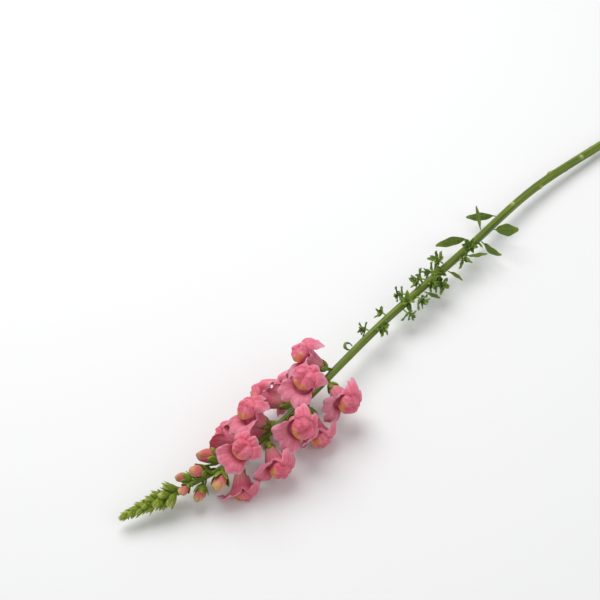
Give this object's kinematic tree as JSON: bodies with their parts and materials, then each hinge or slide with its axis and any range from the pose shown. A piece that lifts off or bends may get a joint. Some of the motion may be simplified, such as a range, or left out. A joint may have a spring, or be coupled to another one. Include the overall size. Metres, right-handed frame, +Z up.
{
  "type": "snapdragon stem",
  "caption": "cut snapdragon stem lying down, pink two-lipped blooms and buds up a green leafy stem",
  "frame": {"origin": "under the middle of the stem's box, on the surface it lies on", "axes": "+X towards the bud tip, +Z up from the surface, +Y to the left of a viewer who looks towards the tip"},
  "size_m": [0.7026, 0.0884, 0.061],
  "materials": {
    "stem_green": "fresh green stem, calyces and buds, faintly ribbed and softly glossy",
    "leaf_green": "mid green leaf, paler beneath, softly glossy",
    "petal_pink": "velvety pink petal, yellow-orange at the mouth, mauve on the upper lip",
    "bud_apricot": "closed bud, apricot pink with a yellow-green foot"
  },
  "bodies": {
    "root": {"stem": "stem_green", "bloom_01": "petal_pink", "bloom_02": "petal_pink", "bloom_03": "petal_pink", "bloom_04": "petal_pink", "bloom_05": "petal_pink", "bloom_06": "petal_pink", "bloom_07": "petal_pink", "bloom_08": "petal_pink", "bloom_09": "petal_pink", "bloom_10": "petal_pink", "bloom_11": "petal_pink", "bloom_12": "petal_pink", "bloom_13": "petal_pink", "bud_01": "bud_apricot", "bud_02": "bud_apricot", "bud_03": "bud_apricot", "bud_04": "bud_apricot", "bud_05": "bud_apricot", "bud_06": "bud_apricot", "bud_07": "bud_apricot", "bud_08": "bud_apricot", "shoot_01": "leaf_green", "shoot_02": "leaf_green", "shoot_03": "leaf_green", "shoot_04": "leaf_green", "shoot_05": "leaf_green", "shoot_06": "leaf_green", "shoot_07": "leaf_green", "shoot_08": "leaf_green", "shoot_09": "leaf_green", "shoot_10": "leaf_green", "shoot_11": "leaf_green", "shoot_12": "leaf_green", "shoot_13": "leaf_green", "shoot_14": "leaf_green", "shoot_15": "leaf_green", "shoot_16": "leaf_green", "leaf_01": "leaf_green", "leaf_02": "leaf_green", "leaf_03": "leaf_green", "leaf_04": "leaf_green", "leaf_05": "leaf_green", "leaf_06": "leaf_green", "leaf_07": "leaf_green", "leaf_08": "leaf_green", "leaf_09": "leaf_green", "leaf_10": "leaf_green"}
  },
  "joints": []
}
